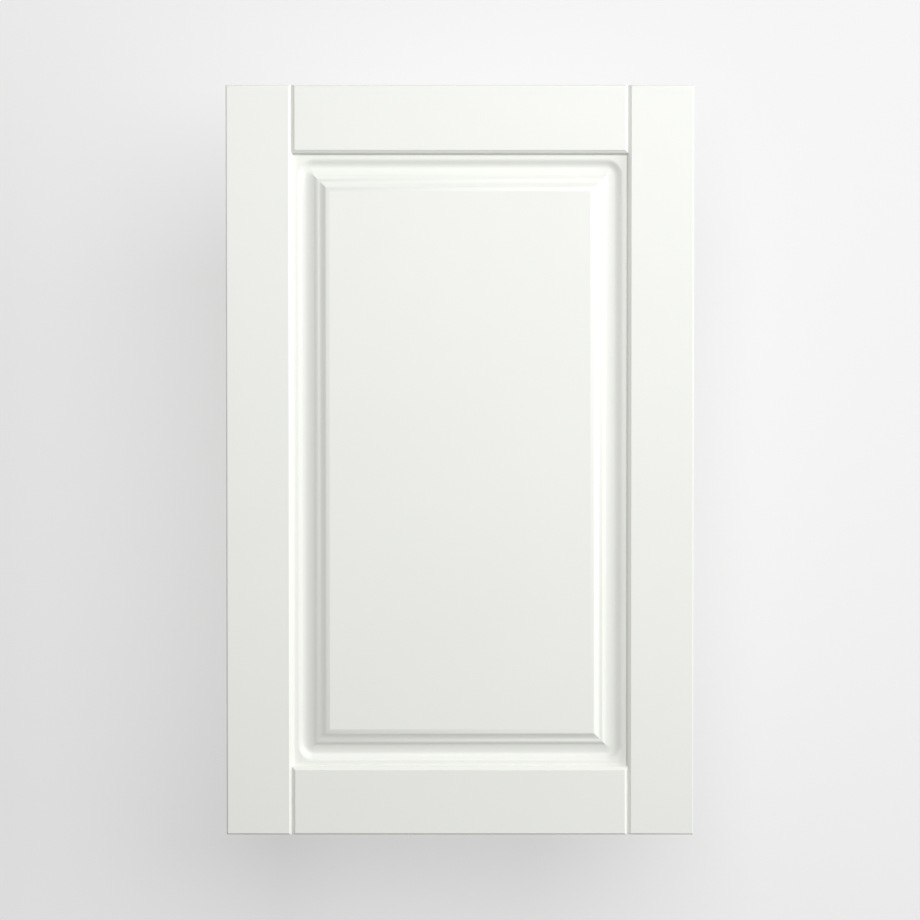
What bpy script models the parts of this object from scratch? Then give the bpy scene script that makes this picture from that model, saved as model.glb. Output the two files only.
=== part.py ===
"""A painted frame-and-panel door for a kitchen unit.

Two stiles and two rails hold a raised panel in a groove. The rails end in a scribed shoulder, a stub
tongue and two dowels, and a V joint shows at the front where they meet the stiles. The back of one stile
is bored for two cup hinges. X runs across the door, Y from its front to its back and Z up from its
bottom edge, in metres.
"""

import math

import bmesh
import bpy
from mathutils import Matrix

# Outer sizes of the door, and of the frame's members out to the tip of their moulded lip.
DOOR_WIDTH = 0.446
DOOR_HEIGHT = 0.715
DOOR_THICKNESS = 0.020
STILE_WIDTH = 0.0645
RAIL_WIDTH = 0.0665
OUTER_ARRIS = 0.0018

# Moulded inner edge of the frame, from the face down to the lip, and the groove behind it.
CHAMFER_WIDTH = 0.0034
CHAMFER_DEPTH = 0.0020
CHAMFER_BULGE = 0.00015
SPLAY_WIDTH = 0.0019
LIP_THICKNESS = 0.0060
LIP_NOSE = 0.0004
GROOVE_WIDTH = 0.0066
GROOVE_DEPTH = 0.0090

# Room left between pieces: on the faces that meet, and past the end of a tongue or a dowel.
JOINT_GAP = 0.0003
END_GAP = 0.0006

# Raised panel, from its flat margin at the lip in to its field: widths, and falls or rises.
PANEL_BOARD = 0.016
MARGIN_WIDTH = 0.0033
SHOULDER_WIDTH = 0.0034
SHOULDER_FALL = 0.0015
SHOULDER_BULGE = 0.0003
HOLLOW_WIDTH = 0.0047
HOLLOW_FALL = 0.0018
HOLLOW_BULGE = 0.0004
COVE_WIDTH = 0.0076
COVE_RISE = 0.0018
COVE_BULGE = 0.0004
QUIRK_WIDTH = 0.0019
QUIRK_RISE = 0.0017
BEAD_WIDTH = 0.0031
BEAD_RISE = 0.0011
BEAD_BULGE = 0.00008
SCOOP_WIDTH = 0.0034
SCOOP_RISE = 0.0014
SCOOP_BULGE = 0.0001
RISER_WIDTH = 0.0025
RISER_RISE = 0.0017
BROW_WIDTH = 0.0044
BROW_RISE = 0.0013
BROW_BULGE = 0.00008
BACK_REVEAL = 0.0010

# Fluted dowels of the corner joints, counted from the door's top or bottom edge.
DOWEL_RADIUS = 0.0040
DOWEL_LENGTH = 0.040
DOWEL_CHAMFER = 0.0010
DOWEL_FLUTES = 16
FLUTE_DEPTH = 0.00025
DOWEL_EDGE = 0.014
DOWEL_SPACING = 0.028

# Hinge bores in the back of the left stile.
CUP_RADIUS = 0.0175
CUP_DEPTH = 0.0125
CUP_EDGE = 0.005
CUP_FROM_END = 0.100
SCREW_RADIUS = 0.0015
SCREW_DEPTH = 0.010
SCREW_SPACING = 0.045
SCREW_SETBACK = 0.0095

# Fineness of the round work.
ARC_STEPS = 4
CORNER_STEPS = 8
ROUND_SIDES = 32
ARRIS_STEPS = 3

# How far a cutter reaches past the stock that it cuts, and how near two points are to be one.
OVERCUT = 0.002
MERGE = 1e-5

PAINT_COLOUR = (0.82, 0.83, 0.79, 1.0)
PAINT_ROUGHNESS = 0.38
BEECH_COLOUR = (0.58, 0.38, 0.20, 1.0)
BEECH_ROUGHNESS = 0.72


def clear_scene():
    for thing in list(bpy.data.objects):
        bpy.data.objects.remove(thing, do_unlink=True)


def finish_material(name, colour, roughness):
    material = bpy.data.materials.new(name)
    material.use_nodes = True
    shader = material.node_tree.nodes["Principled BSDF"]
    shader.inputs["Base Color"].default_value = colour
    shader.inputs["Roughness"].default_value = roughness
    shader.inputs["Metallic"].default_value = 0.0
    material.diffuse_color = colour
    return material


def painted_fibreboard(name):
    return finish_material(f"{name}_paint", PAINT_COLOUR, PAINT_ROUGHNESS)


def turned_beech(name):
    return finish_material(f"{name}_beech", BEECH_COLOUR, BEECH_ROUGHNESS)


def add_object(bm, name, material=None):
    """Make an object of a closed bmesh, with flat faces flat and round stretches smooth."""
    bmesh.ops.recalc_face_normals(bm, faces=bm.faces)
    mesh = bpy.data.meshes.new(name)
    bm.to_mesh(mesh)
    bm.free()
    mesh.shade_smooth()
    mesh.set_sharp_from_angle(angle=math.radians(25))
    if material:
        mesh.materials.append(material)
    made = bpy.data.objects.new(name, mesh)
    bpy.context.scene.collection.objects.link(made)
    return made


def add_cutter(bm, name):
    cutter = add_object(bm, name)
    cutter.hide_render = True
    cutter.display_type = "WIRE"
    return cutter


def add_boolean(target, operation, cutter):
    boolean = target.modifiers.new(f"{operation.lower()}_{cutter.name}", "BOOLEAN")
    boolean.operation = operation
    boolean.solver = "EXACT"
    boolean.object = cutter


def bowed(start, end, bulge):
    """Points along an arc from start to end. A bulge over zero bows it to the left of that direction."""
    run = end[0] - start[0]
    rise = end[1] - start[1]
    chord = math.hypot(run, rise)
    points = [start]
    for step in range(1, ARC_STEPS):
        share = step / ARC_STEPS
        bow = 4 * bulge * share * (1 - share) / chord
        points.append((start[0] + run * share - rise * bow, start[1] + rise * share + run * bow))
    points.append(end)
    return points


def extruded(outline, reach):
    """A prism from a flat outline of points in space, carried along the vector reach."""
    bm = bmesh.new()
    face = bm.faces.new([bm.verts.new(spot) for spot in outline])
    swept = bmesh.ops.extrude_face_region(bm, geom=[face])
    moved = [part for part in swept["geom"] if isinstance(part, bmesh.types.BMVert)]
    bmesh.ops.translate(bm, verts=moved, vec=reach)
    return bm


def member_section(width):
    """A stile's or rail's section as (inward, depth), from its outer edge to its moulded and grooved edge."""
    face_end = (width - SPLAY_WIDTH - CHAMFER_WIDTH, 0.0)
    chamfer_foot = (width - SPLAY_WIDTH, CHAMFER_DEPTH)
    groove_back = LIP_THICKNESS + GROOVE_WIDTH
    section = [(0.0, 0.0)]
    section += bowed(face_end, chamfer_foot, -CHAMFER_BULGE)
    section += [(width, LIP_THICKNESS - LIP_NOSE), (width, LIP_THICKNESS)]
    section += [(width - GROOVE_DEPTH, LIP_THICKNESS), (width - GROOVE_DEPTH, groove_back)]
    section += [(width, groove_back), (width, DOOR_THICKNESS), (0.0, DOOR_THICKNESS)]
    return section


def scribe_section():
    """What the rail's end loses, as (inward, depth): the stile's own edge and one side of the V joint."""
    shoulder = STILE_WIDTH + JOINT_GAP
    vee_foot = shoulder - SPLAY_WIDTH
    tongue_end = STILE_WIDTH - GROOVE_DEPTH + END_GAP
    tongue_front = LIP_THICKNESS + JOINT_GAP
    tongue_back = LIP_THICKNESS + GROOVE_WIDTH - JOINT_GAP
    section = [(-OVERCUT, -OVERCUT), (vee_foot + CHAMFER_WIDTH, -OVERCUT)]
    section += bowed((vee_foot + CHAMFER_WIDTH, 0.0), (vee_foot, CHAMFER_DEPTH), CHAMFER_BULGE)
    section += [(shoulder, LIP_THICKNESS - LIP_NOSE), (shoulder, tongue_front)]
    section += [(tongue_end, tongue_front), (tongue_end, tongue_back), (shoulder, tongue_back)]
    section += [(shoulder, DOOR_THICKNESS + OVERCUT), (-OVERCUT, DOOR_THICKNESS + OVERCUT)]
    return section


def across(side, inward):
    """X at a distance in from the left (side -1) or right (side 1) edge of the door."""
    return side * (DOOR_WIDTH / 2 - inward)


def upward(end, inward):
    """Z at a distance in from the bottom (end -1) or top (end 1) edge of the door."""
    return DOOR_HEIGHT / 2 + end * (DOOR_HEIGHT / 2 - inward)


def from_front(depth):
    """Y at a depth behind the door's front face."""
    return depth - DOOR_THICKNESS / 2


def door_envelope():
    """The whole door as one block with its arrises rounded, which trims the glued-up frame's outer edges."""
    bm = bmesh.new()
    bmesh.ops.create_cube(bm, size=1.0)
    bmesh.ops.scale(bm, vec=(DOOR_WIDTH, DOOR_THICKNESS, DOOR_HEIGHT), verts=bm.verts)
    bmesh.ops.translate(bm, vec=(0.0, 0.0, DOOR_HEIGHT / 2), verts=bm.verts)
    bmesh.ops.bevel(
        bm, geom=bm.edges, offset=OUTER_ARRIS, segments=ARRIS_STEPS, profile=0.5, affect="EDGES", material=-1
    )
    return add_cutter(bm, "cut_envelope")


def bore(name, radius, centre, axis, length):
    """A round cutter that starts at centre and runs along +X, or along -Y for a bore in the back."""
    bm = bmesh.new()
    turn = {"X": Matrix.Rotation(math.pi / 2, 4, "Y"), "Y": Matrix.Rotation(math.pi / 2, 4, "X")}[axis]
    reach = {"X": (length / 2, 0.0, 0.0), "Y": (0.0, -length / 2, 0.0)}[axis]
    bmesh.ops.create_cone(
        bm, cap_ends=True, segments=ROUND_SIDES, radius1=radius, radius2=radius, depth=length, matrix=turn
    )
    bmesh.ops.translate(bm, vec=[a + b for a, b in zip(centre, reach)], verts=bm.verts)
    return add_cutter(bm, name)


def dowel_places():
    """Every corner dowel: its name, side and end of the door, the X of its left end, and its height."""
    for end_name, end in (("bottom", -1), ("top", 1)):
        for side_name, side in (("left", -1), ("right", 1)):
            for row_name, inward in (("outer", DOWEL_EDGE), ("inner", DOWEL_EDGE + DOWEL_SPACING)):
                left_end = across(side, STILE_WIDTH) - DOWEL_LENGTH / 2
                yield f"dowel_{end_name}_{side_name}_{row_name}", side, end, left_end, upward(end, inward)


def dowel_bores():
    """One cutter for each dowel, which drills the stile and the rail in line. Keyed by side and end."""
    drilled = {}
    for name, side, end, left_end, height in dowel_places():
        start = (left_end - END_GAP, 0.0, height)
        cutter = bore(
            f"cut_{name}", DOWEL_RADIUS + JOINT_GAP, start, "X", DOWEL_LENGTH + 2 * END_GAP
        )
        drilled.setdefault((side, end), []).append(cutter)
    return drilled


def hinge_bores():
    """The cup bore and its two screw holes, for each of the two hinges."""
    cutters = []
    back = from_front(DOOR_THICKNESS) + OVERCUT
    cup_across = across(-1, CUP_EDGE + CUP_RADIUS)
    screw_across = across(-1, CUP_EDGE + CUP_RADIUS + SCREW_SETBACK)
    for end_name, end in (("lower", -1), ("upper", 1)):
        height = upward(end, CUP_FROM_END)
        cutters.append(
            bore(f"cut_{end_name}_cup", CUP_RADIUS, (cup_across, back, height), "Y", CUP_DEPTH + OVERCUT)
        )
        for row, offset in enumerate((-SCREW_SPACING / 2, SCREW_SPACING / 2)):
            mouth = (screw_across, back, height + offset)
            name = f"cut_{end_name}_screw_{row}"
            cutters.append(bore(name, SCREW_RADIUS, mouth, "Y", SCREW_DEPTH + OVERCUT))
    return cutters


def stile(name, side, envelope, cutters):
    """One upright member, moulded along its whole height, drilled, and trimmed to the door's edges."""
    outline = [
        (across(side, inward), from_front(depth), upward(-1, 0.0)) for inward, depth in member_section(STILE_WIDTH)
    ]
    bm = extruded(outline, (0.0, 0.0, DOOR_HEIGHT))
    made = add_object(bm, name, painted_fibreboard(name))
    for cutter in cutters:
        add_boolean(made, "DIFFERENCE", cutter)
    add_boolean(made, "INTERSECT", envelope)
    return made


def scribe_cutter(end_name, side_name, side, end):
    """The prism that shapes one end of a rail to its stile."""
    outer_edge = upward(end, -OVERCUT)
    outline = [(across(side, inward), from_front(depth), outer_edge) for inward, depth in scribe_section()]
    bm = extruded(outline, (0.0, 0.0, -end * (RAIL_WIDTH + 2 * OVERCUT)))
    return add_cutter(bm, f"cut_{end_name}_{side_name}_scribe")


def rail(name, end_name, end, envelope, cutters):
    """One cross member, moulded like the stiles, scribed over them at both ends, drilled and trimmed."""
    outline = [
        (across(-1, 0.0), from_front(depth), upward(end, inward)) for inward, depth in member_section(RAIL_WIDTH)
    ]
    bm = extruded(outline, (DOOR_WIDTH, 0.0, 0.0))
    made = add_object(bm, name, painted_fibreboard(name))
    for side_name, side in (("left", -1), ("right", 1)):
        add_boolean(made, "DIFFERENCE", scribe_cutter(end_name, side_name, side, end))
    for cutter in cutters:
        add_boolean(made, "DIFFERENCE", cutter)
    add_boolean(made, "INTERSECT", envelope)
    return made


def moulding_steps():
    """The panel's moulding from its margin to its field, as short (inward, rise) steps."""
    strokes = (
        (SHOULDER_WIDTH, -SHOULDER_FALL, SHOULDER_BULGE),
        (HOLLOW_WIDTH, -HOLLOW_FALL, -HOLLOW_BULGE),
        (COVE_WIDTH, COVE_RISE, -COVE_BULGE),
        (QUIRK_WIDTH, QUIRK_RISE, 0.0),
        (BEAD_WIDTH, BEAD_RISE, BEAD_BULGE),
        (SCOOP_WIDTH, SCOOP_RISE, -SCOOP_BULGE),
        (RISER_WIDTH, RISER_RISE, 0.0),
        (BROW_WIDTH, BROW_RISE, BROW_BULGE),
    )
    for width, rise, bulge in strokes:
        points = bowed((0.0, 0.0), (width, rise), bulge) if bulge else [(0.0, 0.0), (width, rise)]
        for before, after in zip(points, points[1:]):
            yield after[0] - before[0], after[1] - before[1]


def rectangle(bm, half_width, bottom, top, y, radius=0.0):
    """A closed loop of edges, its corners rounded by tangents so that every inward offset keeps its form."""
    turns = CORNER_STEPS if radius else 1
    reach = radius / math.cos(math.pi / 4 / turns)
    verts = []
    for corner, (right, up) in enumerate(((1, 1), (-1, 1), (-1, -1), (1, -1))):
        centre = (right * (half_width - radius), (top - radius) if up > 0 else (bottom + radius))
        for turn in range(turns):
            angle = math.pi / 2 * (corner + (turn + 0.5) / turns)
            spot = (centre[0] + reach * math.cos(angle), y, centre[1] + reach * math.sin(angle))
            verts.append(bm.verts.new(spot))
    return [bm.edges.new((a, b)) for a, b in zip(verts, verts[1:] + verts[:1])], verts


def raised_panel():
    """The panel board: a tongue all round, a routed moulding that turns about the field's corners, and the field.

    The router keeps its distance from the raised field. So what lies outside the field's foot turns round
    arcs about its corners, and what lies inside is mitred.
    """
    bm = bmesh.new()
    to_edge = GROOVE_DEPTH - END_GAP
    margin_y = from_front(LIP_THICKNESS + JOINT_GAP)
    tongue = GROOVE_WIDTH - 2 * JOINT_GAP
    half_width = DOOR_WIDTH / 2 - STILE_WIDTH
    bottom = upward(-1, RAIL_WIDTH)
    top = upward(1, RAIL_WIDTH)
    channel = SHOULDER_WIDTH + HOLLOW_WIDTH + COVE_WIDTH

    edge, _ = rectangle(bm, half_width + to_edge, bottom - to_edge, top + to_edge, margin_y)
    inset = MARGIN_WIDTH
    loop, verts = rectangle(bm, half_width - inset, bottom + inset, top - inset, margin_y, channel)
    bmesh.ops.triangle_fill(bm, use_beauty=True, use_dissolve=False, edges=edge + loop)
    field = bm.faces.new(verts)
    bmesh.ops.recalc_face_normals(bm, faces=bm.faces)
    if field.normal.y > 0:
        bmesh.ops.reverse_faces(bm, faces=bm.faces)

    inward = 0.0
    height = 0.0
    for width, rise in moulding_steps():
        bmesh.ops.inset_region(bm, faces=[field], use_even_offset=True, thickness=width, depth=rise)
        before = inward
        inward += width
        height += rise
        if before < channel - MERGE <= inward:
            bmesh.ops.remove_doubles(bm, verts=field.verts[:], dist=MERGE)
            field = max(bm.faces, key=lambda face: face.calc_area())
    back_y = margin_y - height + PANEL_BOARD

    edge_loop = [e for e in bm.edges if e.is_boundary]
    sides = bmesh.ops.extrude_edge_only(bm, edges=edge_loop)
    far = [part for part in sides["geom"] if isinstance(part, bmesh.types.BMVert)]
    bmesh.ops.translate(bm, verts=far, vec=(0.0, tongue, 0.0))
    rim = [part for part in sides["geom"] if isinstance(part, bmesh.types.BMEdge)]
    back = bmesh.ops.edgeloop_fill(bm, edges=rim)["faces"][0]
    bmesh.ops.recalc_face_normals(bm, faces=bm.faces)
    bmesh.ops.inset_region(bm, faces=[back], use_even_offset=True, thickness=to_edge + BACK_REVEAL)
    lifted = bmesh.ops.extrude_face_region(bm, geom=[back])
    bmesh.ops.delete(bm, geom=[back], context="FACES_ONLY")
    raised = [part for part in lifted["geom"] if isinstance(part, bmesh.types.BMVert)]
    bmesh.ops.translate(bm, verts=raised, vec=(0.0, back_y - margin_y - tongue, 0.0))
    return add_object(bm, "raised_panel", painted_fibreboard("raised_panel"))


def dowel(name, left_end, height):
    """A fluted beech dowel along X with chamfered ends."""
    bm = bmesh.new()
    turn = Matrix.Rotation(math.pi / 2, 4, "Y")
    ring = bmesh.ops.create_circle(bm, segments=2 * DOWEL_FLUTES, radius=DOWEL_RADIUS, matrix=turn)
    valley = 1 - FLUTE_DEPTH / DOWEL_RADIUS
    bmesh.ops.scale(bm, vec=(1.0, valley, valley), verts=ring["verts"][1::2])
    tip = 1 - DOWEL_CHAMFER / DOWEL_RADIUS
    bmesh.ops.scale(bm, vec=(1.0, tip, tip), verts=ring["verts"])
    rim = bm.edges[:]
    bmesh.ops.edgeloop_fill(bm, edges=rim)
    for length, growth in (
        (DOWEL_CHAMFER, 1 / tip),
        (DOWEL_LENGTH - 2 * DOWEL_CHAMFER, 1.0),
        (DOWEL_CHAMFER, tip),
    ):
        swept = bmesh.ops.extrude_edge_only(bm, edges=rim)["geom"]
        verts = [part for part in swept if isinstance(part, bmesh.types.BMVert)]
        rim = [part for part in swept if isinstance(part, bmesh.types.BMEdge)]
        bmesh.ops.translate(bm, verts=verts, vec=(length, 0.0, 0.0))
        bmesh.ops.scale(bm, vec=(1.0, growth, growth), verts=verts)
    bmesh.ops.edgeloop_fill(bm, edges=rim)
    bmesh.ops.translate(bm, vec=(left_end, 0.0, height), verts=bm.verts)
    return add_object(bm, name, turned_beech(name))


def door():
    envelope = door_envelope()
    drilled = dowel_bores()
    left_cutters = drilled[-1, -1] + drilled[-1, 1] + hinge_bores()
    stile("left_stile", -1, envelope, left_cutters)
    stile("right_stile", 1, envelope, drilled[1, -1] + drilled[1, 1])
    rail("bottom_rail", "bottom", -1, envelope, drilled[-1, -1] + drilled[1, -1])
    rail("top_rail", "top", 1, envelope, drilled[-1, 1] + drilled[1, 1])
    raised_panel()
    for name, _, _, left_end, height in dowel_places():
        dowel(name, left_end, height)


clear_scene()
door()
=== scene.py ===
"""The looks of a painted frame-and-panel kitchen door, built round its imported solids, in metres.

X runs across the door, Y from its front to its back and Z up from its bottom edge. The door stands upright
with its moulded front to the camera.
"""

import math

import bmesh
import bpy
import numpy as np
from mathutils import Matrix, Vector


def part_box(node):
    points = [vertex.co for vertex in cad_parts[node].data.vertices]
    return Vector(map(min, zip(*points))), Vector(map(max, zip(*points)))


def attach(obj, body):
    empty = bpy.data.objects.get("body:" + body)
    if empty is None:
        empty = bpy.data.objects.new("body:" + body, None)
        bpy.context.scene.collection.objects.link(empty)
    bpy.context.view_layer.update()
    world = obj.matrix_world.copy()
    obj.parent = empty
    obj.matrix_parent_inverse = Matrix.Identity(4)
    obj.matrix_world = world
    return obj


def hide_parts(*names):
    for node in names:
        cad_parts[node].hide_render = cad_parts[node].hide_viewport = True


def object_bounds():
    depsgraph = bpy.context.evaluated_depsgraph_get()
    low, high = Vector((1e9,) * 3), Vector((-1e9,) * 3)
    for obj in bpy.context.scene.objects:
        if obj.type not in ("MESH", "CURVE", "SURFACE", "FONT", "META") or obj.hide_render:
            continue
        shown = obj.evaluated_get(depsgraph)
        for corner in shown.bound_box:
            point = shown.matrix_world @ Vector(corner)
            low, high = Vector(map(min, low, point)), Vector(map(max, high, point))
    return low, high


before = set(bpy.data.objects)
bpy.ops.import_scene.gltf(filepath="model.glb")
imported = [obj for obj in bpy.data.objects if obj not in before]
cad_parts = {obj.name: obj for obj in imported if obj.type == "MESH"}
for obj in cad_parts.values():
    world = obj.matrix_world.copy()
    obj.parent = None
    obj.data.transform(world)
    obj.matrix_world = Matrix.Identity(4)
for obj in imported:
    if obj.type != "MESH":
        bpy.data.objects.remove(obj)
cad_low, cad_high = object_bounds()

# The raised panel: one sheet of fine fibreboard with a routed moulding all round its field and a tongue on
# its four edges. The router follows the field, so the outer part of the moulding turns its corners in arcs
# and the inner part meets in mitres. It is sprayed before the frame closes round it.
DOOR_FRONT = cad_low.y
DOOR_BACK = cad_high.y
DOOR_TOP = cad_high.z
DOOR_SIDE = cad_high.x
STILE_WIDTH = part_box("left_stile")[1].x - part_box("left_stile")[0].x
RAIL_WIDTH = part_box("bottom_rail")[1].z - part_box("bottom_rail")[0].z
LIP_THICKNESS = 0.0060
GROOVE_WIDTH = 0.0066
GROOVE_DEPTH = 0.0090
PAINTED_GAP = 0.00004
TONGUE_GAP = 0.0003
END_GAP = 0.0006
PANEL_BOARD = 0.016
TONGUE_LENGTH = GROOVE_DEPTH - END_GAP
TONGUE_THICKNESS = GROOVE_WIDTH - 2 * TONGUE_GAP
BACK_REVEAL = 0.0010
MARGIN_WIDTH = 0.0033
# Each stroke of the moulding, from the margin in: its width, its rise and how far it bows out between them.
OUTER_STROKES = (
    (0.0034, -0.0015, 0.00030),
    (0.0047, -0.0018, -0.00042),
    (0.0076, 0.0018, -0.00040),
)
INNER_STROKES = (
    (0.0019, 0.0017, 0.0),
    (0.0031, 0.0011, 0.00008),
    (0.0034, 0.0014, -0.00010),
    (0.0025, 0.0017, 0.0),
    (0.0044, 0.0013, 0.00008),
)
# The eased arris round the panel's back, in strokes of a width and a rise.
BACK_ARRIS = ((0.0001, 0.0003), (0.0003, 0.0001))
PANEL_CORNER_STEPS = 14
MOULDING_SOFTNESS = 0.0005
FINE_PITCH = 0.00004
LARGEST_TURN = math.radians(6)
LONGEST_STEP = 0.0012
FLAT_RIM = 0.0006
PANEL_CREASE = math.radians(24)
PAINT_COLOUR = (0.800, 0.811, 0.770, 1.0)
PANEL_SHEEN = 0.36


def bowed(start, width, rise, bulge):
    """Fine points along one stroke, without its first point."""
    count = max(2, round(width / FINE_PITCH))
    points = []
    for step in range(1, count + 1):
        share = step / count
        points.append((start[0] + width * share, start[1] + rise * share + 4 * bulge * share * (1 - share)))
    return points


def eased(points, softness):
    """The line through the points, as runs and rises, with its corners rounded off as paint rounds them."""
    runs, rises = np.array(points).T
    grid = np.arange(runs[0] - softness, runs[-1] + softness, FINE_PITCH)
    heights = np.interp(grid, runs, rises)
    half = round(softness / FINE_PITCH / 2)
    window = np.hanning(2 * half + 3)
    smooth = np.convolve(heights, window / window.sum(), mode="same")
    smooth[: half + 1] = heights[0]
    smooth[-half - 1 :] = heights[-1]
    return grid, smooth


def thinned(runs, rises, fixed=()):
    """The few points of a fine line that hold its form. A run in fixed is always one of them."""
    kept = [0]
    angles = np.arctan2(np.diff(rises), np.diff(runs))
    must = {int(np.argmin(abs(runs - spot))) for spot in fixed}
    for at in range(1, len(runs) - 1):
        turned = abs(angles[at] - angles[kept[-1]]) > LARGEST_TURN
        if turned or at in must or runs[at] - runs[kept[-1]] > LONGEST_STEP:
            kept.append(at)
    kept.append(len(runs) - 1)
    return [(float(runs[at]), float(rises[at])) for at in kept]


def rounded_loop(bm, half_width, bottom, top, y, radius=0.0, turns=1):
    """A closed loop whose corners are arcs drawn by tangents, so that an inward offset keeps them round."""
    reach = radius / math.cos(math.pi / 4 / turns)
    verts = []
    for corner, (right, up) in enumerate(((1, 1), (-1, 1), (-1, -1), (1, -1))):
        centre = (right * (half_width - radius), (top - radius) if up > 0 else (bottom + radius))
        for turn in range(turns):
            angle = math.pi / 2 * (corner + (turn + 0.5) / turns)
            spot = (centre[0] + reach * math.cos(angle), y, centre[1] + reach * math.sin(angle))
            verts.append(bm.verts.new(spot))
    return [bm.edges.new(pair) for pair in zip(verts, verts[1:] + verts[:1])], verts


def finished(bm, name, crease):
    """Make an object of a mesh, smooth except across edges that turn by more than the crease angle."""
    bmesh.ops.recalc_face_normals(bm, faces=bm.faces)
    mesh = bpy.data.meshes.new(name)
    bm.to_mesh(mesh)
    bm.free()
    mesh.shade_smooth()
    mesh.set_sharp_from_angle(angle=crease)
    made = bpy.data.objects.new(name, mesh)
    bpy.context.scene.collection.objects.link(made)
    return made


def plug(tree, socket, value):
    """Set a socket to a value, or link another node's output to it."""
    if isinstance(value, bpy.types.NodeSocket):
        tree.links.new(value, socket)
    else:
        socket.default_value = value


def add_node(tree, kind, **inputs):
    """A node with some of its inputs set: a name is its socket's, with spaces as underscores."""
    node = tree.nodes.new(kind)
    for name, value in inputs.items():
        plug(tree, node.inputs[name.replace("_", " ")], value)
    return node


def figure(tree, operation, *values, kind="ShaderNodeMath"):
    """What a Math or Vector Math node makes of its values."""
    node = tree.nodes.new(kind)
    node.operation = operation
    for socket, value in zip(node.inputs, values):
        plug(tree, socket, value)
    return node.outputs[0]


def new_material(name):
    """A material, its tree and the inputs of its shader."""
    material = bpy.data.materials.new(name)
    material.use_nodes = True
    tree = material.node_tree
    return material, tree, tree.nodes["Principled BSDF"].inputs


def new_group(name, inputs, outputs):
    """An empty shader group with named inputs and outputs, each given as (name, kind, default)."""
    tree = bpy.data.node_groups.new(name, "ShaderNodeTree")
    for side, sockets in (("INPUT", inputs), ("OUTPUT", outputs)):
        for socket_name, kind, default in sockets:
            socket = tree.interface.new_socket(socket_name, in_out=side, socket_type=f"NodeSocket{kind}")
            if default is not None:
                socket.default_value = default
    return tree, tree.nodes.new("NodeGroupInput").outputs, tree.nodes.new("NodeGroupOutput").inputs


def sprayed_film():
    """Sprayed satin paint: a faint orange peel, broad flow marks and a sheen that is never quite even."""
    tree, given, out = new_group(
        "sprayed_film",
        (
            ("Colour", "Color", PAINT_COLOUR),
            ("Sheen Roughness", "Float", PANEL_SHEEN),
            ("Shift", "Vector", None),
        ),
        (("Colour", "Color", None), ("Roughness", "Float", None), ("Height", "Float", None)),
    )
    spot = add_node(tree, "ShaderNodeTexCoord").outputs["Object"]
    here = figure(tree, "ADD", spot, given["Shift"], kind="ShaderNodeVectorMath")
    peel = add_node(tree, "ShaderNodeTexNoise", Vector=here, Scale=430.0, Detail=2.0, Roughness=0.4)
    flow = add_node(tree, "ShaderNodeTexNoise", Vector=here, Scale=38.0, Detail=2.0, Roughness=0.5)
    cloud = add_node(tree, "ShaderNodeTexNoise", Vector=here, Scale=7.0, Detail=3.0, Roughness=0.55)
    dust = add_node(tree, "ShaderNodeTexNoise", Vector=here, Scale=1500.0, Detail=1.0, Roughness=0.5)

    tone = add_node(
        tree, "ShaderNodeMapRange", Value=cloud.outputs["Fac"],
        From_Min=0.3, From_Max=0.7, To_Min=0.990, To_Max=1.004
    )
    tinted = tree.nodes.new("ShaderNodeVectorMath")
    tinted.operation = "SCALE"
    plug(tree, tinted.inputs[0], given["Colour"])
    plug(tree, tinted.inputs["Scale"], tone.outputs["Result"])
    plug(tree, out["Colour"], tinted.outputs["Vector"])

    uneven = figure(tree, "ADD", flow.outputs["Fac"], dust.outputs["Fac"])
    plug(tree, out["Roughness"], figure(tree, "MULTIPLY_ADD", uneven, 0.10, given["Sheen Roughness"]))
    plug(tree, out["Height"], figure(tree, "MULTIPLY_ADD", flow.outputs["Fac"], 2.0, peel.outputs["Fac"]))
    return tree


def satin_paint(name, sheen, shift):
    """Off-white satin paint for one piece, which has its own place in the pattern of the spray."""
    material, tree, surface = new_material(name)
    film = tree.nodes.new("ShaderNodeGroup")
    film.node_tree = FILM
    film.inputs["Colour"].default_value = PAINT_COLOUR
    film.inputs["Sheen Roughness"].default_value = sheen
    film.inputs["Shift"].default_value = shift
    bump = add_node(tree, "ShaderNodeBump", Height=film.outputs["Height"], Distance=0.00002, Strength=0.35)
    plug(tree, surface["Base Color"], film.outputs["Colour"])
    plug(tree, surface["Roughness"], film.outputs["Roughness"])
    plug(tree, surface["Normal"], bump.outputs["Normal"])
    return material


FILM = sprayed_film()
channel = sum(width for width, _, _ in OUTER_STROKES)
line = [(0.0, 0.0)]
for stroke in OUTER_STROKES + INNER_STROKES:
    line += bowed(line[-1], *stroke)
runs, rises = eased(line, MOULDING_SOFTNESS)
moulding = thinned(runs, rises, fixed=(channel,))

margin_y = DOOR_FRONT + LIP_THICKNESS + PAINTED_GAP
opening_half = DOOR_SIDE - STILE_WIDTH
opening_low = RAIL_WIDTH
opening_high = DOOR_TOP - RAIL_WIDTH
panel = bmesh.new()
tongue_edge, _ = rounded_loop(
    panel, opening_half + TONGUE_LENGTH, opening_low - TONGUE_LENGTH, opening_high + TONGUE_LENGTH, margin_y
)
start = MARGIN_WIDTH + moulding[0][0]
margin_loop, margin_verts = rounded_loop(
    panel, opening_half - start, opening_low + start, opening_high - start, margin_y,
    radius=channel - moulding[0][0], turns=PANEL_CORNER_STEPS
)
bmesh.ops.triangle_fill(panel, use_beauty=True, use_dissolve=False, edges=tongue_edge + margin_loop)
field = panel.faces.new(margin_verts)
bmesh.ops.recalc_face_normals(panel, faces=panel.faces)
if field.normal.y > 0:
    bmesh.ops.reverse_faces(panel, faces=panel.faces)
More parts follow.
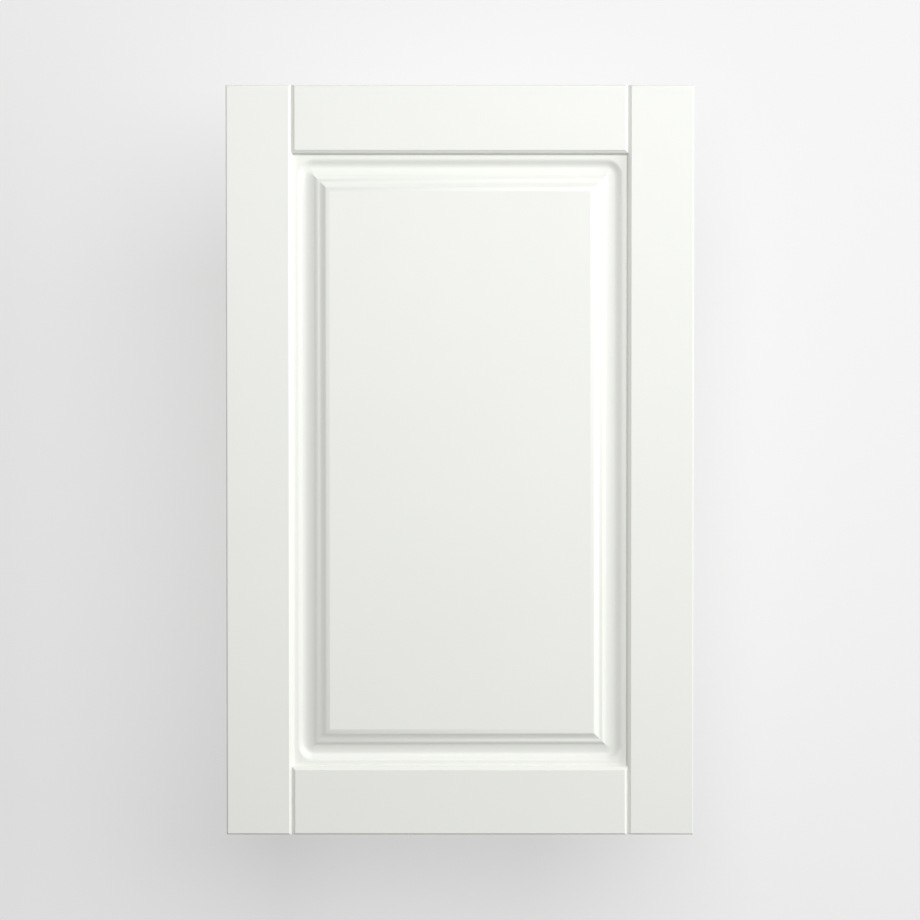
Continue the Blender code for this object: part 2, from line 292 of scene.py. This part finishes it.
# Where the channel ends, the arcs have shrunk to points: each corner's vertices merge and the mitre starts.
mitred = False
for (run, rise), (next_run, next_rise) in zip(moulding, moulding[1:]):
    bmesh.ops.inset_region(
        panel, faces=[field], use_even_offset=True, thickness=next_run - run, depth=next_rise - rise
    )
    if not mitred and next_run > channel - FINE_PITCH:
        bmesh.ops.remove_doubles(panel, verts=field.verts[:], dist=4 * FINE_PITCH)
        field = max(panel.faces, key=lambda face: face.calc_area())
        mitred = True
bmesh.ops.inset_region(panel, faces=[field], use_even_offset=True, thickness=FLAT_RIM)

moulding_rise = moulding[-1][1] - moulding[0][1]
tongue_rim = [edge for edge in panel.edges if edge.is_boundary]
swept = bmesh.ops.extrude_edge_only(panel, edges=tongue_rim)["geom"]
rim_verts = [part for part in swept if isinstance(part, bmesh.types.BMVert)]
rim_edges = [part for part in swept if isinstance(part, bmesh.types.BMEdge)]
bmesh.ops.translate(panel, verts=rim_verts, vec=(0.0, TONGUE_THICKNESS, 0.0))
back = bmesh.ops.edgeloop_fill(panel, edges=rim_edges)["faces"][0]
bmesh.ops.recalc_face_normals(panel, faces=panel.faces)
bmesh.ops.inset_region(panel, faces=[back], use_even_offset=True, thickness=TONGUE_LENGTH + BACK_REVEAL)
back_rise = PANEL_BOARD - moulding_rise - TONGUE_THICKNESS
raised = bmesh.ops.extrude_face_region(panel, geom=[back])["geom"]
bmesh.ops.delete(panel, geom=[back], context="FACES_ONLY")
raised_verts = [part for part in raised if isinstance(part, bmesh.types.BMVert)]
back = next(part for part in raised if isinstance(part, bmesh.types.BMFace))
wall_rise = back_rise - sum(rise for _, rise in BACK_ARRIS)
bmesh.ops.translate(panel, verts=raised_verts, vec=(0.0, wall_rise, 0.0))
for thickness, depth in BACK_ARRIS + ((FLAT_RIM, 0.0),):
    bmesh.ops.inset_region(panel, faces=[back], use_even_offset=True, thickness=thickness, depth=depth)
raised_panel = finished(panel, "panel_painted", PANEL_CREASE)
raised_panel.data.materials.append(satin_paint("panel_satin_paint", PANEL_SHEEN, (0.0, 0.0, 0.0)))
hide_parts("raised_panel")
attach(raised_panel, "root")

# The two rails: fibreboard members with the frame's moulding on their inner edge and a groove behind it.
# Each end is scribed over the stile's moulding, carries a stub tongue for the stile's groove, and falls
# away at the face as its half of a V joint. They are glued on dowels and sprayed with the stiles.
CHAMFER_WIDTH = 0.0029
CHAMFER_DEPTH = 0.0020
CHAMFER_BULGE = 0.00004
SPLAY_WIDTH = 0.0014
LIP_TRIM = 0.0005
LIP_NOSE = 0.0004
NOSE_STEP = 0.0002
EDGE_SOFTNESS = 0.00035
FACE_RUN = 0.002
FACE_TOLERANCE = 1e-7
OUTER_ARRIS = 0.0018
ARRIS_STEPS = 8
DOWEL_LENGTH = 0.040
DOWEL_BORE = 0.0043
DOWELS_FROM_END = (0.014, 0.042)
DRILL_SIDES = 64
PAST_FACE = 0.002
MERGE_DISTANCE = 1e-6
END_NORMAL = 0.99
FRAME_CREASE = math.radians(30)
FRAME_SHEEN = 0.37
DOOR_THICKNESS = DOOR_BACK - DOOR_FRONT
groove_back = LIP_THICKNESS + GROOVE_WIDTH

# The moulding falls from the face to the lip's tip, which stands LIP_TRIM short of the member's full width.
face_edge = -CHAMFER_WIDTH - SPLAY_WIDTH - LIP_TRIM
splay_depth = LIP_THICKNESS - LIP_NOSE - CHAMFER_DEPTH - NOSE_STEP
edge_line = [(face_edge - FACE_RUN, 0.0), (face_edge, 0.0)]
edge_line += bowed(edge_line[-1], CHAMFER_WIDTH, CHAMFER_DEPTH, CHAMFER_BULGE)
edge_line += bowed(edge_line[-1], SPLAY_WIDTH - NOSE_STEP, splay_depth, 0.0)
edge_line += bowed(edge_line[-1], NOSE_STEP, LIP_NOSE, 0.0)
edge_runs, edge_depths = eased(edge_line, EDGE_SOFTNESS)
at_face = int(np.argmax(edge_depths > FACE_TOLERANCE)) - 1
at_tip = int(np.argmin(abs(edge_runs + LIP_TRIM)))
edge_runs = edge_runs[at_face : at_tip + 1]
edge_depths = edge_depths[at_face : at_tip + 1]
moulded_depths = [depth for _, depth in thinned(edge_runs, edge_depths)]
arris_turns = [math.pi / 2 * step / ARRIS_STEPS for step in range(ARRIS_STEPS + 1)]
arris_depths = [OUTER_ARRIS * (1 - math.cos(turn)) for turn in arris_turns]
front_depths = sorted({0.0, *moulded_depths, *arris_depths, LIP_THICKNESS - PAINTED_GAP})
rear_depths = [LIP_THICKNESS + PAINTED_GAP] + [DOOR_THICKNESS - depth for depth in reversed(arris_depths)]


def moulded_edge(depth):
    """How far the moulded edge stands back from the member's full width at a depth behind the face."""
    return float(-np.interp(depth, edge_depths, edge_runs))


def arris_inset(depth):
    """How far the rounded outer arris stands in from the door's edge at a depth behind the face."""
    near = min(depth, DOOR_THICKNESS - depth)
    if near >= OUTER_ARRIS:
        return 0.0
    return OUTER_ARRIS - math.sqrt(max(0.0, OUTER_ARRIS**2 - (OUTER_ARRIS - near) ** 2))


def scribed_end(depth):
    """How far in from the door's side a rail ends. Only its slope of the V parts from the stile's edge."""
    if depth > LIP_THICKNESS:
        return STILE_WIDTH + PAINTED_GAP
    foot = STILE_WIDTH - SPLAY_WIDTH - LIP_TRIM
    stile_edge = STILE_WIDTH - moulded_edge(depth)
    return foot + abs(stile_edge - foot) + PAINTED_GAP


def member_layers(member_width, ends):
    """A member as layers (depth, outer, inner, end) measured inward from the door's edges.

    A narrow flat rim inside the edge of each face keeps the shading of the edge off the flat.
    """
    layers = []
    for depth in front_depths:
        layers.append((depth, arris_inset(depth), member_width - moulded_edge(depth), ends(depth)))
    first_depth, outer, inner, end = layers[0]
    layers.insert(0, (first_depth, outer + FLAT_RIM, inner - FLAT_RIM, end + FLAT_RIM))
    for depth in rear_depths:
        layers.append((depth, arris_inset(depth), member_width, ends(depth)))
    last_depth, outer, inner, end = layers[-1]
    layers.append((last_depth, outer + FLAT_RIM, inner - FLAT_RIM, end + FLAT_RIM))
    return layers


def laid_up(layers):
    """A closed member from its layers (depth, left, right, bottom, top), front face first."""
    bm = bmesh.new()
    depth, left, right, bottom, top = layers[0]
    y = DOOR_FRONT + depth
    corners = ((left, y, bottom), (right, y, bottom), (right, y, top), (left, y, top))
    face = bm.faces.new([bm.verts.new(corner) for corner in corners])
    for depth, left, right, bottom, top in layers[1:]:
        bmesh.ops.inset_region(bm, faces=[face], use_boundary=True, thickness=FLAT_RIM)
        middle = face.calc_center_median()
        for vert in face.verts:
            x = right if vert.co.x > middle.x else left
            z = top if vert.co.z > middle.z else bottom
            vert.co = (x, DOOR_FRONT + depth, z)
    bmesh.ops.holes_fill(bm, edges=[edge for edge in bm.edges if edge.is_boundary], sides=4)
    return bm


def stub_tongue(bm):
    """Draw out the tongue at both ends of a rail, from the stretch of each end that faces the groove."""
    low = DOOR_FRONT + LIP_THICKNESS + TONGUE_GAP
    high = DOOR_FRONT + groove_back - TONGUE_GAP
    for y in (low, high):
        faces = []
        for face in bm.faces:
            depths = [vert.co.y for vert in face.verts]
            if abs(face.normal.x) > END_NORMAL and min(depths) < y < max(depths):
                faces.append(face)
        edges = {edge for face in faces for edge in face.edges}
        bmesh.ops.bisect_plane(
            bm, geom=faces + list(edges), plane_co=(0.0, y, 0.0), plane_no=(0.0, 1.0, 0.0)
        )
    ends = []
    for face in bm.faces:
        if abs(face.normal.x) > END_NORMAL and low < face.calc_center_median().y < high:
            ends.append(face)
    reach = GROOVE_DEPTH - END_GAP + PAINTED_GAP
    for face in bmesh.ops.extrude_discrete_faces(bm, faces=ends)["faces"]:
        outward = math.copysign(reach, face.calc_center_median().x)
        bmesh.ops.translate(bm, verts=face.verts[:], vec=(outward, 0.0, 0.0))


def drill(profile, mouth, feed):
    """A bit's sweep, its mouth, its feed and its profile (radius, depth), which is spun about the feed."""
    bm = bmesh.new()
    line = [bm.verts.new((radius, 0.0, -depth)) for radius, depth in profile]
    edges = [bm.edges.new(pair) for pair in zip(line, line[1:])]
    bmesh.ops.spin(
        bm, geom=line + edges, cent=(0.0, 0.0, 0.0), axis=(0.0, 0.0, 1.0), angle=2 * math.pi,
        steps=DRILL_SIDES, use_merge=True
    )
    bmesh.ops.remove_doubles(bm, verts=bm.verts, dist=MERGE_DISTANCE)
    turn = (-Vector(feed)).to_track_quat("Z", "Y").to_matrix().to_4x4()
    bmesh.ops.transform(bm, matrix=Matrix.Translation(mouth) @ turn, verts=bm.verts)
    return finished(bm, "drill_sweep", FRAME_CREASE), Vector(mouth), Vector(feed), profile


def saw_sweep(corner, opposite):
    """The sweep of the saw that cuts a groove, as a block between two opposite corners."""
    bm = bmesh.new()
    bmesh.ops.create_cube(bm, size=1.0)
    bmesh.ops.scale(bm, vec=Vector(opposite) - Vector(corner), verts=bm.verts)
    bmesh.ops.translate(bm, vec=(Vector(opposite) + Vector(corner)) / 2, verts=bm.verts)
    return finished(bm, "saw_sweep", FRAME_CREASE)


def machined(piece, saw, drills, inside):
    """Groove and drill a piece, and give the walls of its bores the material inside."""
    sweeps = [saw] + [sweep for sweep, _, _, _ in drills]
    for sweep in sweeps:
        cut = piece.modifiers.new("cut", "BOOLEAN")
        cut.operation = "DIFFERENCE"
        cut.solver = "EXACT"
        cut.object = sweep
    graph = bpy.context.evaluated_depsgraph_get()
    mesh = bpy.data.meshes.new_from_object(piece.evaluated_get(graph))
    piece.modifiers.clear()
    piece.data = mesh
    mesh.materials.append(inside)
    for face in mesh.polygons:
        for _, mouth, feed, profile in drills:
            deep = (face.center - mouth).dot(feed)
            off = (face.center - mouth - feed * deep).length
            widest = max(radius for radius, _ in profile)
            if off < widest and 0.0 < deep < profile[-1][1] + MERGE_DISTANCE:
                face.material_index = len(mesh.materials) - 1
    mesh.shade_smooth()
    mesh.set_sharp_from_angle(angle=FRAME_CREASE)
    for sweep in sweeps:
        bpy.data.objects.remove(sweep, do_unlink=True)


def dowel_drills(sides, ends):
    """The bores for the dowels at these sides and ends of the door, each through rail and stile in line."""
    reach = DOWEL_LENGTH / 2 + END_GAP
    profile = ((0.0, 0.0), (DOWEL_BORE, 0.0), (DOWEL_BORE, 2 * reach), (0.0, 2 * reach))
    drills = []
    for side in sides:
        for end in ends:
            for from_end in DOWELS_FROM_END:
                height = from_end if end < 0 else DOOR_TOP - from_end
                mouth = (side * opening_half - reach, 0.0, height)
                drills.append(drill(profile, mouth, (1.0, 0.0, 0.0)))
    return drills


def between(tree, share, dark_at, dark, light_at, light):
    """A colour that goes from dark to light as the share goes from dark_at to light_at."""
    ramp = tree.nodes.new("ShaderNodeValToRGB")
    for stop, position, colour in zip(ramp.color_ramp.elements, (dark_at, light_at), (dark, light)):
        stop.position = position
        stop.color = colour
    plug(tree, ramp.inputs["Fac"], share)
    return ramp.outputs["Color"]


def bare_fibreboard():
    """Medium-density fibreboard as a drill leaves it: light brown, matt and felted from short fibres."""
    material, tree, surface = new_material("bare_fibreboard")
    spot = add_node(tree, "ShaderNodeTexCoord").outputs["Object"]
    fibre = add_node(
        tree, "ShaderNodeTexNoise", Vector=spot, Scale=1400.0, Detail=4.0, Roughness=0.7, Distortion=1.5
    )
    felt = add_node(tree, "ShaderNodeTexNoise", Vector=spot, Scale=160.0, Detail=3.0, Roughness=0.6)
    fine_share = figure(tree, "MULTIPLY", fibre.outputs["Fac"], 0.6)
    share = figure(tree, "MULTIPLY_ADD", felt.outputs["Fac"], 0.4, fine_share)
    brown = between(tree, share, 0.36, (0.27, 0.17, 0.09, 1.0), 0.62, (0.50, 0.36, 0.22, 1.0))
    bump = add_node(tree, "ShaderNodeBump", Height=fibre.outputs["Fac"], Distance=0.0001, Strength=0.6)
    plug(tree, surface["Base Color"], brown)
    plug(tree, surface["Roughness"], 0.93)
    plug(tree, surface["Normal"], bump.outputs["Normal"])
    return material


BARE = bare_fibreboard()

for rail_name, end, shift in (
    ("bottom_rail", -1, (0.31, 0.0, 0.12)),
    ("top_rail", 1, (0.17, 0.05, 0.44)),
):
    layers = []
    for depth, outer, inner, side_end in member_layers(RAIL_WIDTH, scribed_end):
        reach = DOOR_SIDE - side_end
        low, high = (outer, inner) if end < 0 else (DOOR_TOP - inner, DOOR_TOP - outer)
        layers.append((depth, -reach, reach, low, high))
    rail = laid_up(layers)
    bmesh.ops.recalc_face_normals(rail, faces=rail.faces)
    stub_tongue(rail)
    made = finished(rail, f"{rail_name}_painted", FRAME_CREASE)
    made.data.materials.append(satin_paint(f"{rail_name}_satin_paint", FRAME_SHEEN, shift))
    lip = opening_low if end < 0 else opening_high
    saw = saw_sweep(
        (-DOOR_SIDE, DOOR_FRONT + LIP_THICKNESS, lip - end * PAST_FACE),
        (DOOR_SIDE, DOOR_FRONT + groove_back, lip + end * GROOVE_DEPTH)
    )
    machined(made, saw, dowel_drills((-1, 1), (end,)), BARE)
    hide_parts(rail_name)
    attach(made, "root")

# The eight dowels: fluted beech, two to a corner, glued into the rail's end and the stile. The solids have
# their true shape already, and only the grain is new.
def bare_beech():
    """Beech along X: pinkish brown, with short dark flecks and fine lengthwise pores."""
    material, tree, surface = new_material("bare_beech")
    spot = add_node(tree, "ShaderNodeTexCoord").outputs["Object"]
    drawn_out = figure(tree, "MULTIPLY", spot, (0.12, 1.0, 1.0), kind="ShaderNodeVectorMath")
    grain = add_node(tree, "ShaderNodeTexNoise", Vector=drawn_out, Scale=420.0, Detail=4.0, Roughness=0.6)
    flecks = add_node(tree, "ShaderNodeTexVoronoi", Vector=drawn_out, Scale=1100.0)
    fleck = add_node(
        tree, "ShaderNodeMapRange", Value=flecks.outputs["Distance"],
        From_Min=0.12, From_Max=0.30, To_Min=0.25, To_Max=0.0
    )
    share = figure(tree, "SUBTRACT", grain.outputs["Fac"], fleck.outputs["Result"])
    brown = between(tree, share, 0.30, (0.43, 0.25, 0.13, 1.0), 0.70, (0.66, 0.45, 0.27, 1.0))
    bump = add_node(tree, "ShaderNodeBump", Height=grain.outputs["Fac"], Distance=0.00005, Strength=0.5)
    plug(tree, surface["Base Color"], brown)
    plug(tree, surface["Roughness"], 0.72)
    plug(tree, surface["Normal"], bump.outputs["Normal"])
    return material


BEECH = bare_beech()
for node_name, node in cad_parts.items():
    if node_name.startswith("dowel_"):
        for held in node.material_slots:
            held.material = BEECH

# The two stiles: full-height fibreboard members with the same moulding and groove along their inner edge.
# The slope of the moulding runs on past the rails as the other half of each V joint. The back of the left
# one is bored, after spraying, for the cups and screws of two hinges.
CUP_RADIUS = 0.0175
CUP_DEPTH = 0.0125
CUP_EDGE = 0.005
CUP_FROM_END = 0.100
SCREW_RADIUS = 0.0015
SCREW_DEPTH = 0.010
SCREW_SPACING = 0.045
SCREW_SETBACK = 0.0095
BIT_POINT = 0.0012


def hinge_drills():
    """The cup bore of each hinge, with the mark of the bit's point in its floor, and two screw holes."""
    cup = (
        (0.0, 0.0), (CUP_RADIUS, 0.0), (CUP_RADIUS, PAST_FACE + CUP_DEPTH),
        (BIT_POINT, PAST_FACE + CUP_DEPTH), (0.0, PAST_FACE + CUP_DEPTH + BIT_POINT)
    )
    screw = (
        (0.0, 0.0), (SCREW_RADIUS, 0.0), (SCREW_RADIUS, PAST_FACE + SCREW_DEPTH - SCREW_RADIUS),
        (0.0, PAST_FACE + SCREW_DEPTH)
    )
    cup_x = -DOOR_SIDE + CUP_EDGE + CUP_RADIUS
    mouth_y = DOOR_BACK + PAST_FACE
    drills = []
    for height in (CUP_FROM_END, DOOR_TOP - CUP_FROM_END):
        drills.append(drill(cup, (cup_x, mouth_y, height), (0.0, -1.0, 0.0)))
        for offset in (-SCREW_SPACING / 2, SCREW_SPACING / 2):
            drills.append(drill(screw, (cup_x + SCREW_SETBACK, mouth_y, height + offset), (0.0, -1.0, 0.0)))
    return drills


for stile_name, side, shift in (
    ("left_stile", -1, (0.0, 0.2, 0.27)),
    ("right_stile", 1, (0.52, 0.1, 0.05)),
):
    layers = []
    for depth, outer, inner, end in member_layers(STILE_WIDTH, arris_inset):
        near, far = sorted((side * (DOOR_SIDE - inner), side * (DOOR_SIDE - outer)))
        layers.append((depth, near, far, end, DOOR_TOP - end))
    made = finished(laid_up(layers), f"{stile_name}_painted", FRAME_CREASE)
    made.data.materials.append(satin_paint(f"{stile_name}_satin_paint", FRAME_SHEEN, shift))
    drills = dowel_drills((side,), (-1, 1))
    if side < 0:
        drills += hinge_drills()
    saw = saw_sweep(
        (side * (opening_half - PAST_FACE), DOOR_FRONT + LIP_THICKNESS, -PAST_FACE),
        (side * (opening_half + GROOVE_DEPTH), DOOR_FRONT + groove_back, DOOR_TOP + PAST_FACE)
    )
    machined(made, saw, drills, BARE)
    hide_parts(stile_name)
    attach(made, "root")

# The backdrop: a pale wall a little way behind the door, bent into a floor below it. It takes the door's
# soft shadow, casts none itself and is looked through from behind.
WALL_DISTANCE = 0.25
FLOOR_DROP = 0.26
BACKDROP_REACH = 4.0
BEND_RADIUS = 0.10
BEND_STEPS = 8
BEND_CREASE = math.radians(40)
BACKDROP_CHALK = (0.46, 0.46, 0.46, 1.0)
BACKDROP_GLOW = 0.385
BACKDROP_BOUNCE = (0.12, 0.12, 0.12, 1.0)

backdrop = bmesh.new()
run_out = [backdrop.verts.new((-BACKDROP_REACH, DOOR_BACK - BACKDROP_REACH, -FLOOR_DROP))]
for step in range(BEND_STEPS + 1):
    angle = math.pi / 2 * step / BEND_STEPS
    y = WALL_DISTANCE - BEND_RADIUS * (1 - math.sin(angle))
    z = -FLOOR_DROP + BEND_RADIUS * (1 - math.cos(angle))
    run_out.append(backdrop.verts.new((-BACKDROP_REACH, y, z)))
run_out.append(backdrop.verts.new((-BACKDROP_REACH, WALL_DISTANCE, BACKDROP_REACH)))
edges = [backdrop.edges.new(pair) for pair in zip(run_out, run_out[1:])]
drawn = bmesh.ops.extrude_edge_only(backdrop, edges=edges)["geom"]
far_verts = [part for part in drawn if isinstance(part, bmesh.types.BMVert)]
bmesh.ops.translate(backdrop, verts=far_verts, vec=(2 * BACKDROP_REACH, 0.0, 0.0))
wall = finished(backdrop, "backdrop", BEND_CREASE)
if max(wall.data.polygons, key=lambda face: abs(face.normal.y)).normal.y > 0:
    wall.data.flip_normals()
pale_backdrop = bpy.data.materials.new("pale_backdrop")
pale_backdrop.use_nodes = True
wall.data.materials.append(pale_backdrop)
tree = pale_backdrop.node_tree
tree.nodes.clear()
seen = tree.nodes.new("ShaderNodeLightPath").outputs
mirrored = figure(tree, "MAXIMUM", seen["Is Glossy Ray"], seen["Is Transmission Ray"])
looked_at = figure(tree, "MAXIMUM", seen["Is Camera Ray"], mirrored)
chalk = add_node(tree, "ShaderNodeBsdfDiffuse", Color=BACKDROP_CHALK)
glow = add_node(tree, "ShaderNodeEmission", Color=(1.0, 1.0, 1.0, 1.0), Strength=BACKDROP_GLOW)
shown = tree.nodes.new("ShaderNodeAddShader")
plug(tree, shown.inputs[0], chalk.outputs["BSDF"])
plug(tree, shown.inputs[1], glow.outputs["Emission"])
bounced = add_node(tree, "ShaderNodeBsdfDiffuse", Color=BACKDROP_BOUNCE)


def mixed(tree, share, first_shader, second_shader):
    """A shader that goes from the first to the second as the share goes from nought to one."""
    mix = tree.nodes.new("ShaderNodeMixShader")
    for socket, value in zip(mix.inputs, (share, first_shader, second_shader)):
        plug(tree, socket, value)
    return mix.outputs["Shader"]


front_side = mixed(tree, looked_at, bounced.outputs["BSDF"], shown.outputs["Shader"])
see_through = tree.nodes.new("ShaderNodeBsdfTransparent").outputs["BSDF"]
from_behind = tree.nodes.new("ShaderNodeNewGeometry").outputs["Backfacing"]
surface = tree.nodes.new("ShaderNodeOutputMaterial").inputs["Surface"]
plug(tree, surface, mixed(tree, from_behind, front_side, see_through))
wall.visible_shadow = False

# The light: a broad soft lamp in front and above, one that rakes in from the right, one behind for the
# door's back, and an even pale room. Each lamp is a name, direction, distance, width, height and power.
ROOM_LIGHT = 0.26
ROOM_SEEN = 0.88
TOP_LAMP = ("top_lamp", (0.18, -0.92, 0.37), 2.7, 2.3, 1.8, 57.5)
SIDE_LAMP = ("side_lamp", (0.93, -0.35, 0.21), 4.0, 1.8, 2.4, 95.5)
BACK_LAMP = ("back_lamp", (-0.45, 0.80, 0.40), 3.5, 3.0, 3.0, 145.0)

room = bpy.data.worlds.new("studio")
bpy.context.scene.world = room
room.use_nodes = True
tree = room.node_tree
lighting = tree.nodes["Background"]
plug(tree, lighting.inputs["Color"], (1.0, 1.0, 1.0, 1.0))
plug(tree, lighting.inputs["Strength"], ROOM_LIGHT)
pale = add_node(tree, "ShaderNodeBackground", Color=(1.0, 1.0, 1.0, 1.0), Strength=ROOM_SEEN)
by_camera = tree.nodes.new("ShaderNodeLightPath").outputs["Is Camera Ray"]
both = mixed(tree, by_camera, lighting.outputs["Background"], pale.outputs["Background"])
plug(tree, tree.nodes["World Output"].inputs["Surface"], both)

middle = (cad_low + cad_high) / 2
for name, direction, distance, width, height, power in (TOP_LAMP, SIDE_LAMP, BACK_LAMP):
    lamp_data = bpy.data.lights.new(name, "AREA")
    lamp_data.shape = "RECTANGLE"
    lamp_data.size = width
    lamp_data.size_y = height
    lamp_data.energy = power
    lamp = bpy.data.objects.new(name, lamp_data)
    toward = Vector(direction).normalized()
    lamp.location = middle + toward * distance
    lamp.rotation_euler = toward.to_track_quat("Z", "Y").to_euler()
    bpy.context.scene.collection.objects.link(lamp)

# The camera: far in front of the door, so that its edges look parallel, and a little above its middle.
DOOR_PIXELS = 466.3
IMAGE_PIXELS = 920
METRES_PER_PIXEL = 2 * DOOR_SIDE / DOOR_PIXELS
SENSOR_WIDTH = 36.0
CAMERA_DISTANCE = 3.0
CAMERA_RISE = math.radians(1.35)
AIM_RISE = 0.5 * METRES_PER_PIXEL

camera_data = bpy.data.cameras.new("camera")
camera_data.sensor_width = SENSOR_WIDTH
camera_data.lens = SENSOR_WIDTH * CAMERA_DISTANCE / (IMAGE_PIXELS * METRES_PER_PIXEL)
camera = bpy.data.objects.new("camera", camera_data)
aim = Vector((0.0, 0.0, DOOR_TOP / 2 + AIM_RISE))
camera.location = aim + CAMERA_DISTANCE * Vector((0.0, -math.cos(CAMERA_RISE), math.sin(CAMERA_RISE)))
camera.rotation_euler = (math.pi / 2 - CAMERA_RISE, 0.0, 0.0)
bpy.context.scene.collection.objects.link(camera)
bpy.context.scene.camera = camera
bpy.context.scene.view_settings.view_transform = "Standard"
